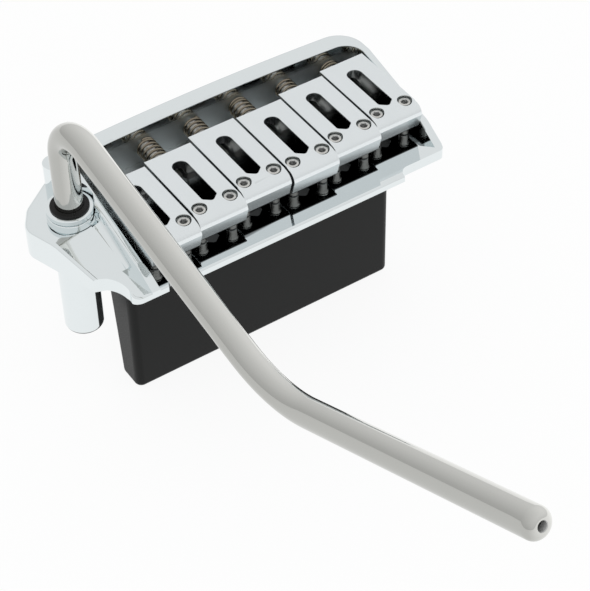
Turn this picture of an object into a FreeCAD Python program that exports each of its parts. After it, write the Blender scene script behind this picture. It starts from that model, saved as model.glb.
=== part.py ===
import FreeCAD, Part
import math
import os

# Guitar tremolo bridge for two pivot posts, in millimetres.
# X runs across the strings, +Y towards the tail of the guitar, +Z up from the guitar's top.
# The origin is the middle of the pivot line, where the plate's knife edges meet the posts.

V = FreeCAD.Vector
UP = V(0, 0, 1)
REAR = V(0, 1, 0)
BIG = 200.0

# Strings
STRING_PITCH = 10.8
STRING_COUNT = 6

# Base plate floor and its front edge
PLATE_THICKNESS = 3.0
FLOOR_Z = 0.7
FRONT_OVERHANG = 2.2
FRONT_LIP = 1.45
BEVEL_REACH = 4.2
FRONT_EDGE_ROUND = 0.5

# Pivot posts and the knife edges that rock on them
POST_SPACING = 56.0
POST_NOTCH_R = 3.0
FLAT_EDGE_INSET = 5.2
FLAT_EDGE_CORNER_R = 2.0
PLATE_CORNER_R = 1.4

# Walls of the plate's tub
SIDE_CLEARANCE = 0.5
WALL_TOP_Z = 9.2
WALL_TOP_WIDTH = 1.6
WALL_DRAFT = 0.2
WALL_FLAT_Y = 26.1
WALL_FRONT_Z = 1.9
LEFT_NOSE_Y = 3.7
RIGHT_NOSE_Y = 7.5
NOSE_RUN = 6.1
REAR_WALL_INNER_Y = 31.3
REAR_WALL_WIDTH = 4.0
REAR_WALL_BOW = 0.8
REAR_WALL_DRAFT = 0.8
INNER_CORNER_R = 4.0
OUTER_CORNER_R = 6.0
WALL_EDGE_ROUND = 0.6

# Arm socket's place and the wing that carries it
SOCKET_X = -38.0
SOCKET_Y = 21.5
WING_UNDERSIDE_Z = -2.3
WING_SEAT_Z = 4.4
WING_REACH = 9.2
WING_WIDEST_BACK = 1.6
WING_HIP = 3.0
WING_HIP_BACK = 6.4
WING_REAR_REACH = 10.8
WING_REAR_INSET = 0.4
WING_TIP_Y = 6.1
WING_TIP_OFFSET = 3.0
WING_TIP_ROUND = 0.8
WING_NOTCH_WIDTH = 1.4
WING_NOTCH_DEPTH = 0.8
WING_CORNER_R = 4.0
WING_EDGE_ROUND = 0.8
ROOT_ROUND = 2.0
ROOT_ROUND_FRONT = 0.8

# Front corner of the plate beside the wing's notch
CORNER_REACH = 3.6
CORNER_DEPTH = 1.7

# Shoulder that carries the rear wall on behind the socket
SHOULDER_REACH = 3.6
SHOULDER_FRONT_Y = 26.5
SHOULDER_REAR_INSET = 1.5
SHOULDER_CORNER_R = 2.4
SHOULDER_FLAT = 0.01

# Saddles, measured from the row of their height screws
SADDLE_ROW_Y = (3.7, 4.75, 6.3, 5.9, 7.3, 8.7)
SADDLE_GAP = 0.4
SADDLE_TOP_Z = 9.0
SADDLE_REAR = 17.2
SADDLE_FRONT = 3.4
SADDLE_NOSE_R = 2.0
SADDLE_UNDERCUT = 1.0
SADDLE_FACET_DROP = 0.35
SADDLE_FACET_LENGTH = 1.2
SADDLE_BAR_HEIGHT = 5.7
SADDLE_HEEL_Z = 2.1
SADDLE_HEEL_LENGTH = 6.4
SADDLE_RAMP = 5.0
SADDLE_EDGE_ROUND = 0.25
SLOT_WIDTH = 3.15
SLOT_FRONT = 0.5
SLOT_REAR = 13.8
SLOT_POINT = 1.3
SLOT_CORNER_R = 0.6

# How far a saddle can be lowered on its screws
LIFT_DOWN = 1.2

# Height screws
HEIGHT_SCREW_SPACING = 6.72
HEIGHT_SCREW_D = 2.86
HEIGHT_LEG_D = 2.0
HEIGHT_THREAD_BELOW = 0.3
HEIGHT_SCREW_RECESS = 0.4
HEIGHT_TIP_CHAMFER = 0.3
HEIGHT_HEX = 1.3
HEIGHT_HEX_DEPTH = 1.3

# Intonation screws
INTONATION_Z = 4.3
INTONATION_D = 2.86
INTONATION_LENGTH = 15.0
INTONATION_SEAT = 2.2
INTONATION_HEAD_D = 5.0
INTONATION_HEAD_H = 1.9
INTONATION_HEAD_ROUND = 0.5
CROSS_WIDTH = 0.7
CROSS_LENGTH = 3.0
CROSS_DEPTH = 1.0

# Intonation springs
SPRING_D = 4.4
SPRING_WIRE = 0.5
SPRING_TURNS = 6.5
SPRING_LEAST_GAP = 0.45
SPRING_BEND = 0.6
SPRING_END_GAP = 0.02

# Tremolo block under the plate
BLOCK_HALF_WIDTH = 31.3
BLOCK_FRONT_Y = 14.2
BLOCK_TOP_DEPTH = 11.0
BLOCK_BOTTOM_DEPTH = 7.0
BLOCK_HEIGHT = 39.6
BLOCK_CORNER_R = 1.6
BLOCK_EDGE_ROUND = 1.0
STRING_HOLE_D = 2.6
BALL_HOLE_D = 4.4
BALL_HOLE_TOP = 9.0
STRING_HOLE_SETBACK = 3.4
SPRING_HOLE_D = 3.2
SPRING_HOLE_DEPTH = 8.0
FLOOR_SLOT_WIDTH = 4.0
FLOOR_SLOT_LENGTH = 8.0

# Screws that hold the block to the plate
BLOCK_SCREW_D = 4.0
BLOCK_SCREW_HEAD_D = 7.2
BLOCK_SCREW_HEAD_H = 2.0
BLOCK_SCREW_LENGTH = 13.0
BLOCK_SCREW_HEX = 2.5
BLOCK_SCREW_HEX_DEPTH = 1.4
BLOCK_SCREW_SETBACK = 6.6
BLOCK_SCREW_ROOM = 1.0
BLOCK_SCREW_STEP = 2 * STRING_PITCH

# Arm socket: barrel, collar nut, bush and stop screw
BARREL_D = 7.9
BARREL_LENGTH = 22.2
BARREL_BOTTOM_ROUND = 1.2
NECK_D = 7.4
BORE_D = 6.6
BORE_FLOOR = 7.6
COLLAR_D = 9.2
COLLAR_FLANGE_H = 0.9
COLLAR_GROOVE_H = 0.35
COLLAR_GROOVE_DEPTH = 0.4
COLLAR_RING_H = 1.05
COLLAR_RING_ROUND = 0.25
COLLAR_RELIEF = 0.15
BUSH_FLANGE_D = 7.6
BUSH_FLANGE_H = 0.5
BUSH_LENGTH = 18.0
STOP_SCREW_D = 4.0
STOP_SCREW_LENGTH = 8.0
STOP_SCREW_HEX = 2.0
STOP_SCREW_HEX_DEPTH = 2.0

# Tremolo arm
ARM_D = 5.46
ARM_HEADING = 4.0
ARM_KNEE_Z = 29.5
ARM_KNEE_R = 7.2
ARM_FIRST_SLOPE = -0.329
ARM_FIRST_REACH = 64.3
ARM_KINK_R = 26.0
ARM_SECOND_SLOPE = 0.427
ARM_SECOND_REACH = 62.5
ARM_FOOT_Z = -15.9
ARM_FOOT_CHAMFER = 0.6
ARM_TIP_ROUND = 1.7
ARM_TIP_HOLE_D = 1.7
ARM_TIP_HOLE_DEPTH = 3.0

# Fits, each on the radius
THREAD_FIT = 0.07
SCREW_HOLE_FIT = 0.1
SLEEVE_FIT = 0.02
ARM_FIT = 0.06
HEAD_POCKET_FIT = 0.2

# Values that follow from the sizes above
UNDERSIDE_Z = FLOOR_Z - PLATE_THICKNESS
SADDLE_WIDTH = STRING_PITCH - SADDLE_GAP
INNER_HALF = STRING_COUNT * STRING_PITCH / 2 - SADDLE_GAP / 2 + SIDE_CLEARANCE
TOP_HALF = INNER_HALF + WALL_TOP_WIDTH
BOTTOM_HALF = TOP_HALF + WALL_DRAFT
REAR_TOP_Y = REAR_WALL_INNER_Y + REAR_WALL_WIDTH
POST_X = POST_SPACING / 2
BAR_Z = SADDLE_TOP_Z - SADDLE_BAR_HEIGHT
BLOCK_BOTTOM_Z = UNDERSIDE_Z - BLOCK_HEIGHT
STRING_HOLE_Y = BLOCK_FRONT_Y + STRING_HOLE_SETBACK
BLOCK_SCREW_Y = BLOCK_FRONT_Y + BLOCK_SCREW_SETBACK
BARREL_BOTTOM_Z = WING_UNDERSIDE_Z - BARREL_LENGTH
BORE_BOTTOM_Z = BARREL_BOTTOM_Z + BORE_FLOOR
COLLAR_H = COLLAR_FLANGE_H + COLLAR_GROOVE_H + COLLAR_RING_H
NECK_TOP_Z = WING_SEAT_Z + COLLAR_H
STRING_X = [(i - (STRING_COUNT - 1) / 2) * STRING_PITCH for i in range(STRING_COUNT)]
BETWEEN_X = [(a + b) / 2 for a, b in zip(STRING_X, STRING_X[1:])]


# Drawing helpers

def arc(a, b, c):
    return Part.Arc(V(*a), V(*b), V(*c)).toShape()


def line(a, b):
    return Part.LineSegment(V(*a), V(*b)).toShape()


def prism(points, direction):
    corners = [V(*p) for p in points]
    face = Part.Face(Part.makePolygon(corners + corners[:1]))
    return face.extrude(direction)


def prism_yz(points, x0, x1):
    return prism([(x0, y, z) for y, z in points], V(x1 - x0, 0, 0))


def box(x0, x1, y0, y1, z0, z1):
    return Part.makeBox(x1 - x0, y1 - y0, z1 - z0, V(x0, y0, z0))


def upright(x, y, z0, z1, d):
    return Part.makeCylinder(d / 2, z1 - z0, V(x, y, z0), UP)


def lengthwise(x, z, y0, y1, d):
    return Part.makeCylinder(d / 2, y1 - y0, V(x, y0, z), REAR)


def hexagon(centre, direction, across_flats, depth):
    side = across_flats / math.sqrt(3)
    turn = FreeCAD.Rotation(UP, direction)
    corners = []
    for k in range(6):
        angle = math.radians(60 * k)
        corner = V(side * math.cos(angle), side * math.sin(angle), 0)
        corners.append(centre + turn.multVec(corner))
    face = Part.Face(Part.makePolygon(corners + corners[:1]))
    return face.extrude(direction * depth)


def obround_y(x, y0, y1, width, z0, z1):
    r = width / 2
    middle = box(x - r, x + r, y0 + r, y1 - r, z0, z1)
    ends = upright(x, y0 + r, z0, z1, width).fuse(upright(x, y1 - r, z0, z1, width))
    return middle.fuse(ends).removeSplitter()


def rounded(shape, radius, test):
    edges = [e for e in shape.Edges if test(e)]
    return shape.makeFillet(radius, edges)


def level(edge, z):
    return all(abs(v.Z - z) < 1e-4 for v in edge.Vertexes)


def unit(v):
    return v * (1 / v.Length)


# Base plate

def wall_height(y):
    # The side walls' tops fall evenly from the rear wall to the front edge.
    share = (y + FRONT_OVERHANG) / (WALL_FLAT_Y + FRONT_OVERHANG)
    return WALL_FRONT_Z + share * (WALL_TOP_Z - WALL_FRONT_Z)


def rear_face_y(x):
    # The rear wall's inner face is bowed towards the tail.
    half = INNER_HALF - INNER_CORNER_R
    return REAR_WALL_INNER_Y - REAR_WALL_BOW * (x / half) ** 2


def tub_outline(z, half, front, rear, r):
    side = rear - REAR_WALL_BOW
    m = r * (1 - math.sqrt(0.5))
    return Part.Wire([
        line((-half, front, z), (half, front, z)),
        line((half, front, z), (half, side - r, z)),
        arc((half, side - r, z), (half - m, side - m, z), (half - r, side, z)),
        arc((half - r, side, z), (0, rear, z), (r - half, side, z)),
        arc((r - half, side, z), (m - half, side - m, z), (-half, side - r, z)),
        line((-half, side - r, z), (-half, front, z)),
    ])


def tub_pocket():
    floor = tub_outline(FLOOR_Z, INNER_HALF, -BIG, REAR_WALL_INNER_Y, INNER_CORNER_R)
    return Part.Face(floor).extrude(V(0, 0, BIG))


def tub():
    front = -FRONT_OVERHANG
    rear = REAR_TOP_Y + REAR_WALL_DRAFT
    bottom = tub_outline(UNDERSIDE_Z, BOTTOM_HALF, front, rear, OUTER_CORNER_R)
    top = tub_outline(WALL_TOP_Z, TOP_HALF, front, REAR_TOP_Y, OUTER_CORNER_R)
    return Part.makeLoft([bottom, top], True, True).cut(tub_pocket())


def above_walls():
    # Everything over the side walls' sloping tops and round their front noses.
    far = wall_height(-BIG)
    slope = [(WALL_FLAT_Y, WALL_TOP_Z), (-BIG, far), (-BIG, BIG), (WALL_FLAT_Y, BIG)]
    shape = prism_yz(slope, -BIG, BIG)
    for x0, x1, y in ((-BIG, 0, LEFT_NOSE_Y), (0, BIG, RIGHT_NOSE_Y)):
        nose = [(y, BIG), (y, wall_height(y)), (y - NOSE_RUN, FLOOR_Z), (-BIG, FLOOR_Z), (-BIG, BIG)]
        shape = shape.fuse(prism_yz(nose, x0, x1))
    return shape


def front_corner(z):
    # Convex corner of the plate, as start, middle and end of its arc.
    root = -TOP_HALF
    front = -FRONT_OVERHANG
    turn = math.sqrt(0.5)
    start = (root - CORNER_REACH + CORNER_DEPTH, front, z)
    middle = (root - CORNER_REACH + CORNER_DEPTH * (1 - turn), front + CORNER_DEPTH * (1 - turn), z)
    end = (root - CORNER_REACH, front + CORNER_DEPTH, z)
    return start, middle, end


def outside_corner():
    start, middle, end = front_corner(-BIG)
    outline = Part.Wire([
        arc(start, middle, end),
        line(end, (-BIG, end[1], -BIG)),
        line((-BIG, end[1], -BIG), (-BIG, -BIG, -BIG)),
        line((-BIG, -BIG, -BIG), (start[0], -BIG, -BIG)),
        line((start[0], -BIG, -BIG), start),
    ])
    return Part.Face(outline).extrude(V(0, 0, 2 * BIG))


def wing():
    # The wing's outline runs from the plate's front corner round the socket to the shoulder.
    z = WING_UNDERSIDE_Z
    start, middle, end = front_corner(z)
    inside = -INNER_HALF - SIDE_CLEARANCE
    tip_x = SOCKET_X - WING_TIP_OFFSET
    left_x = SOCKET_X - WING_REACH
    rear_y = SOCKET_Y + WING_REAR_REACH
    notch = (tip_x + WING_NOTCH_WIDTH, WING_TIP_Y, z)
    hollow = ((end[0] + notch[0]) / 2 + WING_NOTCH_DEPTH, (end[1] + notch[1]) / 2 + WING_NOTCH_DEPTH, z)
    tip = (tip_x - WING_TIP_ROUND, WING_TIP_Y + WING_TIP_ROUND, z)
    left = (left_x, SOCKET_Y + WING_WIDEST_BACK, z)
    hip = (left_x + WING_HIP, SOCKET_Y + WING_HIP_BACK, z)
    rear = (SOCKET_X - WING_REAR_INSET, rear_y, z)
    outline = Part.Wire([
        line((inside, start[1], z), start),
        arc(start, middle, end),
        arc(end, hollow, notch),
        line(notch, tip),
        line(tip, left),
        line(left, hip),
        line(hip, rear),
        line(rear, (inside, rear_y, z)),
        line((inside, rear_y, z), (inside, start[1], z)),
    ])
    shape = Part.Face(outline).extrude(V(0, 0, WING_SEAT_Z - z)).cut(above_wing())
    shape = rounded(shape, WING_CORNER_R, lambda e: upright_edge(e, left) or upright_edge(e, hip))
    side_y = WING_TIP_Y + WING_TIP_ROUND

    def top_side(edge):
        return outside_tub(edge) and above(edge, z) and edge.BoundBox.YMin > side_y

    return rounded(shape, WING_EDGE_ROUND, top_side)


def outside_tub(edge):
    return edge.BoundBox.XMax < -BOTTOM_HALF


def above(edge, z):
    return edge.BoundBox.ZMin > z


def upright_edge(edge, place):
    return all(abs(v.X - place[0]) + abs(v.Y - place[1]) < 1e-3 for v in edge.Vertexes)


def above_wing():
    # The wing's top is level round the socket, falls to the floor's height and runs on level to the front.
    crease = V(0, SOCKET_Y - COLLAR_D / 2 - WING_EDGE_ROUND, WING_SEAT_Z)
    tip = V(0, WING_TIP_Y, FLOOR_Z)
    down = unit(tip - crease)
    t = WING_EDGE_ROUND
    level_end = crease + REAR * t
    slope_end = crease + down * t
    outline = Part.Wire([
        arc_between(level_end, REAR * -1, slope_end),
        line(slope_end, tip),
        line(tip, (0, -BIG, FLOOR_Z)),
        line((0, -BIG, FLOOR_Z), (0, -BIG, BIG)),
        line((0, -BIG, BIG), (0, level_end.y, BIG)),
        line((0, level_end.y, BIG), level_end),
    ])
    outline.translate(V(-BIG, 0, 0))
    return Part.Face(outline).extrude(V(2 * BIG, 0, 0))


def shoulder():
    # The rear wall's end beyond the tub, over the rear of the wing.
    z = WING_UNDERSIDE_Z
    left_x = -TOP_HALF - SHOULDER_REACH
    rear_y = REAR_TOP_Y - SHOULDER_REAR_INSET
    inside = -INNER_HALF - SIDE_CLEARANCE
    r = SHOULDER_CORNER_R
    m = r * (1 - math.sqrt(0.5))
    side_y = rear_y - r
    cove_x = (inside + left_x) / 2 - SHOULDER_REACH / 4
    cove_y = (SHOULDER_FRONT_Y + side_y) / 2 - SHOULDER_REACH / 8
    outline = Part.Wire([
        arc((inside, SHOULDER_FRONT_Y, z), (cove_x, cove_y, z), (left_x, side_y - SHOULDER_FLAT, z)),
        line((left_x, side_y - SHOULDER_FLAT, z), (left_x, side_y, z)),
        arc((left_x, side_y, z), (left_x + m, rear_y - m, z), (left_x + r, rear_y, z)),
        line((left_x + r, rear_y, z), (inside, rear_y, z)),
        line((inside, rear_y, z), (inside, SHOULDER_FRONT_Y, z)),
    ])
    return Part.Face(outline).extrude(V(0, 0, WALL_TOP_Z - z))


def knife_edges():
    # Bevel under the front edge, a round notch for one post and a straight edge for the other.
    lip_z = FLOOR_Z - FRONT_LIP
    front = -FRONT_OVERHANG
    bevel = [
        (-BIG, lip_z),
        (front, lip_z),
        (front + BEVEL_REACH, UNDERSIDE_Z),
        (front + BEVEL_REACH, -BIG),
        (-BIG, -BIG),
    ]
    shape = prism_yz(bevel, -BIG, BIG)
    notch = upright(-POST_X, -POST_NOTCH_R, -BIG, BIG, 2 * POST_NOTCH_R)
    shape = shape.fuse(notch)
    inner = POST_X - FLAT_EDGE_INSET
    r = FLAT_EDGE_CORNER_R
    m = r * (1 - math.sqrt(0.5))
    outer = TOP_HALF
    c = PLATE_CORNER_R
    k = c * (1 - math.sqrt(0.5))
    step = Part.Wire([
        line((inner, -BIG, -BIG), (inner, -r, -BIG)),
        arc((inner, -r, -BIG), (inner + m, -m, -BIG), (inner + r, 0, -BIG)),
        line((inner + r, 0, -BIG), (outer - c, 0, -BIG)),
        arc((outer - c, 0, -BIG), (outer - k, k, -BIG), (outer, c, -BIG)),
        line((outer, c, -BIG), (BIG, c, -BIG)),
        line((BIG, c, -BIG), (BIG, -BIG, -BIG)),
        line((BIG, -BIG, -BIG), (inner, -BIG, -BIG)),
    ])
    return shape.fuse(Part.Face(step).extrude(V(0, 0, 2 * BIG)))


def plate_holes():
    cuts = []
    for x in STRING_X:
        y1 = STRING_HOLE_Y + FLOOR_SLOT_WIDTH / 2
        cuts.append(obround_y(x, y1 - FLOOR_SLOT_LENGTH, y1, FLOOR_SLOT_WIDTH, -BIG, BIG))
        hole_d = INTONATION_D + 2 * SCREW_HOLE_FIT
        cuts.append(lengthwise(x, INTONATION_Z, STRING_HOLE_Y, BIG, hole_d))
        seat = rear_face_y(x) + INTONATION_SEAT
        pocket_d = INTONATION_HEAD_D + 2 * HEAD_POCKET_FIT
        cuts.append(lengthwise(x, INTONATION_Z, seat, BIG, pocket_d))
    for x in block_screw_x():
        cuts.append(upright(x, BLOCK_SCREW_Y, -BIG, FLOOR_Z, BLOCK_SCREW_D + 2 * SCREW_HOLE_FIT))
        cuts.append(countersunk_head(x, SCREW_HOLE_FIT))
    relief = COLLAR_D + 2 * COLLAR_RELIEF
    cuts.append(upright(SOCKET_X, SOCKET_Y, WING_SEAT_Z, BIG, relief))
    cuts.append(upright(SOCKET_X, SOCKET_Y, -BIG, BIG, NECK_D + 2 * SLEEVE_FIT))
    return cuts


def root_cove():
    # Hollow rounding between the wing's top and the left wall, fading out towards the front.
    crease_y = SOCKET_Y - COLLAR_D / 2 - WING_EDGE_ROUND
    slope = (WING_SEAT_Z - FLOOR_Z) / (crease_y - WING_TIP_Y)
    lean = WALL_DRAFT / (WALL_TOP_Z - UNDERSIDE_Z)
    turn = 1 - math.sqrt(0.5)
    sections = []
    for y, r in ((SOCKET_Y, ROOT_ROUND), (crease_y, ROOT_ROUND), (WING_TIP_Y, ROOT_ROUND_FRONT)):
        z = WING_SEAT_Z - slope * (crease_y - min(y, crease_y)) - SLEEVE_FIT
        x = -BOTTOM_HALF + lean * (z - UNDERSIDE_Z)
        foot = (x - r, y, z)
        head = (x + lean * r, y, z + r)
        back = (x + WALL_TOP_WIDTH / 2, y, z + r)
        heel = (x + WALL_TOP_WIDTH / 2, y, z - r)
        toe = (x - r, y, z - r)
        sections.append(Part.Wire([
            arc(foot, (x - r * turn, y, z + r * turn), head),
            line(head, back),
            line(back, heel),
            line(heel, toe),
            line(toe, foot),
        ]))
    return Part.makeLoft(sections, True, True)


def on_wall_top(edge):
    # Long edges of the walls' tops, without the shoulder's end.
    if straight_across(edge) or edge.BoundBox.YMin > SHOULDER_FRONT_Y and edge.BoundBox.XMax < -INNER_HALF:
        return False
    return all(abs(v.Z - min(WALL_TOP_Z, wall_height(v.Y))) < 1e-3 for v in edge.Vertexes)


def straight_across(edge):
    return edge.BoundBox.YLength < 1e-3


def base_plate():
    walls = tub().fuse(shoulder()).cut(above_walls()).cut(outside_corner())
    walls = rounded(walls.cut(tub_pocket()).removeSplitter(), WALL_EDGE_ROUND, on_wall_top)
    shape = walls.fuse([wing(), root_cove()]).cut(tub_pocket()).removeSplitter()
    shape = shape.cut(knife_edges())
    for cut in plate_holes():
        shape = shape.cut(cut)
    front = -FRONT_OVERHANG
    return rounded(
        shape.removeSplitter(),
        FRONT_EDGE_ROUND,
        lambda e: level(e, FLOOR_Z) and e.BoundBox.YMax < front + 1e-3,
    )


# Tremolo block and its screws

def block_screw_x():
    return (-BLOCK_SCREW_STEP, 0.0, BLOCK_SCREW_STEP)


def countersunk_head(x, fit):
    r = BLOCK_SCREW_HEAD_D / 2 + fit
    neck = BLOCK_SCREW_D / 2 + fit
    bottom = FLOOR_Z - BLOCK_SCREW_HEAD_H
    return Part.makeCone(neck, r, BLOCK_SCREW_HEAD_H, V(x, BLOCK_SCREW_Y, bottom), UP)


def block_screws():
    screws = []
    for x in block_screw_x():
        neck_z = FLOOR_Z - BLOCK_SCREW_HEAD_H
        shank = upright(x, BLOCK_SCREW_Y, FLOOR_Z - BLOCK_SCREW_LENGTH, neck_z, BLOCK_SCREW_D)
        screw = shank.fuse(countersunk_head(x, 0))
        socket = V(x, BLOCK_SCREW_Y, FLOOR_Z - BLOCK_SCREW_HEX_DEPTH)
        recess = hexagon(socket, UP, BLOCK_SCREW_HEX, BLOCK_SCREW_HEX_DEPTH)
        screws.append(screw.cut(recess).removeSplitter())
    return Part.makeCompound(screws)


def tremolo_block():
    top, bottom = UNDERSIDE_Z, BLOCK_BOTTOM_Z
    side = [
        (BLOCK_FRONT_Y, top),
        (BLOCK_FRONT_Y + BLOCK_TOP_DEPTH, top),
        (BLOCK_FRONT_Y + BLOCK_BOTTOM_DEPTH, bottom),
        (BLOCK_FRONT_Y, bottom),
    ]
    block = prism_yz(side, -BLOCK_HALF_WIDTH, BLOCK_HALF_WIDTH)
    block = rounded(block, BLOCK_CORNER_R, lambda e: abs(e.BoundBox.ZLength - BLOCK_HEIGHT) < 1e-3)
    block = rounded(block, BLOCK_EDGE_ROUND, lambda e: level(e, bottom))
    for x in STRING_X:
        block = block.cut(upright(x, STRING_HOLE_Y, bottom, top, STRING_HOLE_D))
        block = block.cut(upright(x, STRING_HOLE_Y, bottom, top - BALL_HOLE_TOP, BALL_HOLE_D))
    for x in BETWEEN_X:
        block = block.cut(upright(x, STRING_HOLE_Y, bottom, bottom + SPRING_HOLE_DEPTH, SPRING_HOLE_D))
    depth = BLOCK_SCREW_LENGTH + BLOCK_SCREW_ROOM
    for x in block_screw_x():
        block = block.cut(upright(x, BLOCK_SCREW_Y, FLOOR_Z - depth, top, BLOCK_SCREW_D))
    return block.removeSplitter()


# Saddles and the screws in them

def saddle(x, row_y):
    top, bar, heel = SADDLE_TOP_Z, BAR_Z, SADDLE_HEEL_Z
    front = row_y - SADDLE_FRONT
    rear = row_y + SADDLE_REAR
    lip = top - SADDLE_FACET_DROP
    r = SADDLE_NOSE_R
    m = r * (1 - math.sqrt(0.5))
    facet_end = front + r + SADDLE_FACET_LENGTH
    heel_front = rear - SADDLE_HEEL_LENGTH
    x0 = x - SADDLE_WIDTH / 2
    outline = [
        line((x0, front + SADDLE_UNDERCUT, bar), (x0, front, lip - r)),
        arc((x0, front, lip - r), (x0, front + m, lip - m), (x0, front + r, lip)),
        line((x0, front + r, lip), (x0, facet_end, top)),
        line((x0, facet_end, top), (x0, rear, top)),
        line((x0, rear, top), (x0, rear, heel)),
        line((x0, rear, heel), (x0, heel_front, heel)),
        line((x0, heel_front, heel), (x0, heel_front - SADDLE_RAMP, bar)),
        line((x0, heel_front - SADDLE_RAMP, bar), (x0, front + SADDLE_UNDERCUT, bar)),
    ]
    body = Part.Face(Part.Wire(outline)).extrude(V(SADDLE_WIDTH, 0, 0))
    body = body.cut(string_slot(x, row_y))
    body = rounded(body, SADDLE_EDGE_ROUND, lambda e: level(e, top) and e.BoundBox.YMax > facet_end + 1e-3)
    hole_d = HEIGHT_SCREW_D + 2 * THREAD_FIT
    for side in (-1, 1):
        body = body.cut(upright(x + side * HEIGHT_SCREW_SPACING / 2, row_y, heel, BIG, hole_d))
    return body.cut(screw_way(x, row_y)).removeSplitter()


def string_slot(x, row_y):
    # Round at the rear and pointed at the front, where the string bears.
    r = SLOT_WIDTH / 2
    tip = row_y + SLOT_FRONT
    rear = row_y + SLOT_REAR
    z = SADDLE_HEEL_Z
    outline = Part.Wire([
        line((x, tip, z), (x + r, tip + SLOT_POINT, z)),
        line((x + r, tip + SLOT_POINT, z), (x + r, rear - r, z)),
        arc((x + r, rear - r, z), (x, rear, z), (x - r, rear - r, z)),
        line((x - r, rear - r, z), (x - r, tip + SLOT_POINT, z)),
        line((x - r, tip + SLOT_POINT, z), (x, tip, z)),
    ])
    slot = Part.Face(outline).extrude(V(0, 0, SADDLE_TOP_Z - z))
    corners = ((x, tip), (x - r, tip + SLOT_POINT), (x + r, tip + SLOT_POINT))
    return rounded(slot, SLOT_CORNER_R, lambda e: any(upright_edge(e, corner) for corner in corners))


def screw_way(x, row_y):
    # Upright slot through the heel, open below, so that the saddle can rise on a screw that stays level.
    d = INTONATION_D + 2 * THREAD_FIT
    y0 = row_y + SLOT_REAR - SLOT_WIDTH / 2
    y1 = row_y + SADDLE_REAR
    high = INTONATION_Z + LIFT_DOWN + THREAD_FIT
    way = box(x - d / 2, x + d / 2, y0, y1, -BIG, high)
    return way.fuse(lengthwise(x, high, y0, y1, d)).removeSplitter()


def height_screw(x, y):
    thread_low = BAR_Z - HEIGHT_THREAD_BELOW
    top = SADDLE_TOP_Z - HEIGHT_SCREW_RECESS
    leg = upright(x, y, FLOOR_Z, thread_low, HEIGHT_LEG_D)
    leg = leg.makeChamfer(HEIGHT_TIP_CHAMFER, [e for e in leg.Edges if level(e, FLOOR_Z)])
    screw = leg.fuse(upright(x, y, thread_low, top, HEIGHT_SCREW_D))
    socket = V(x, y, top - HEIGHT_HEX_DEPTH)
    return screw.cut(hexagon(socket, UP, HEIGHT_HEX, HEIGHT_HEX_DEPTH)).removeSplitter()


# Intonation screws and springs

def intonation_screw(x):
    seat = rear_face_y(x) + INTONATION_SEAT
    end = seat - INTONATION_LENGTH
    back = seat + INTONATION_HEAD_H
    head = lengthwise(x, INTONATION_Z, seat, back, INTONATION_HEAD_D)
    rim = [e for e in head.Edges if all(abs(v.Y - back) < 1e-4 for v in e.Vertexes)]
    head = head.makeFillet(INTONATION_HEAD_ROUND, rim)
    screw = head.fuse(lengthwise(x, INTONATION_Z, end, seat, INTONATION_D))
    w, h = CROSS_WIDTH / 2, CROSS_LENGTH / 2
    z = INTONATION_Z
    screw = screw.cut(box(x - w, x + w, back - CROSS_DEPTH, back, z - h, z + h))
    return screw.cut(box(x - h, x + h, back - CROSS_DEPTH, back, z - w, z + w)).removeSplitter()


def arc_between(start, tangent, end):
    # Circular arc that leaves start along the tangent and reaches end.
    chord = end - start
    along = unit(chord)
    across = tangent - along * tangent.dot(along)
    half_turn = math.acos(max(-1.0, min(1.0, tangent.dot(along))))
    rise = chord.Length / 2 * math.tan(half_turn / 2)
    middle = (start + end) * 0.5 + unit(across) * rise
    return Part.Arc(start, middle, end).toShape()


def biarc(p1, t1, p2, t2):
    # Two arcs from p1 along t1 to p2 along t2 that meet with one tangent.
    v = p2 - p1
    a = 2 * (1 - t1.dot(t2))
    b = 2 * v.dot(t1 + t2)
    d = (-b + math.sqrt(b * b + 4 * a * v.dot(v))) / (2 * a)
    joint = (p1 + p2 + (t1 - t2) * d) * 0.5
    middle_tangent = unit((p2 - t2 * d) - (p1 + t1 * d))
    return [arc_between(p1, t1, joint), arc_between(joint, middle_tangent, p2)]


def coil(x, y0, y1):
    # Path of one spring: straight ends square to the saddle and the wall, and even turns between.
    r = (SPRING_D - SPRING_WIRE) / 2
    lead = SPRING_WIRE + SPRING_BEND
    room = y1 - y0 - 2 * lead
    turns = min(SPRING_TURNS, room / (SPRING_WIRE + SPRING_LEAST_GAP))
    steps = max(2, math.ceil(2 * turns))
    bend_angle = SPRING_BEND / r
    total = 2 * math.pi * turns
    first = -math.pi / 2

    def place(angle, y):
        return V(x + r * math.cos(angle), y, INTONATION_Z + r * math.sin(angle))

    def heading(angle):
        return unit(V(-r * math.sin(angle), room / total, r * math.cos(angle)))

    start = place(first - bend_angle, y0)
    straight = start + REAR * SPRING_WIRE
    edges = [Part.LineSegment(start, straight).toShape()]
    here, along = straight, REAR
    for k in range(steps + 1):
        angle = first + total * k / steps
        there = place(angle, y0 + lead + room * k / steps)
        edges += biarc(here, along, there, heading(angle))
        here, along = there, heading(angle)
    end = place(first + total + bend_angle, y1)
    straight = end - REAR * SPRING_WIRE
    edges += biarc(here, along, straight, REAR)
    edges.append(Part.LineSegment(straight, end).toShape())
    return Part.Wire(edges)


def least_gap(path):
    # Smallest space between one turn and the next, on points along the wire.
    points = path.discretize(Distance=SPRING_WIRE / 4)
    skip = int(SPRING_D / (SPRING_WIRE / 4))
    least = BIG
    for i, p in enumerate(points):
        for q in points[i + skip:]:
            least = min(least, p.distanceToPoint(q))
    return least - SPRING_WIRE


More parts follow.
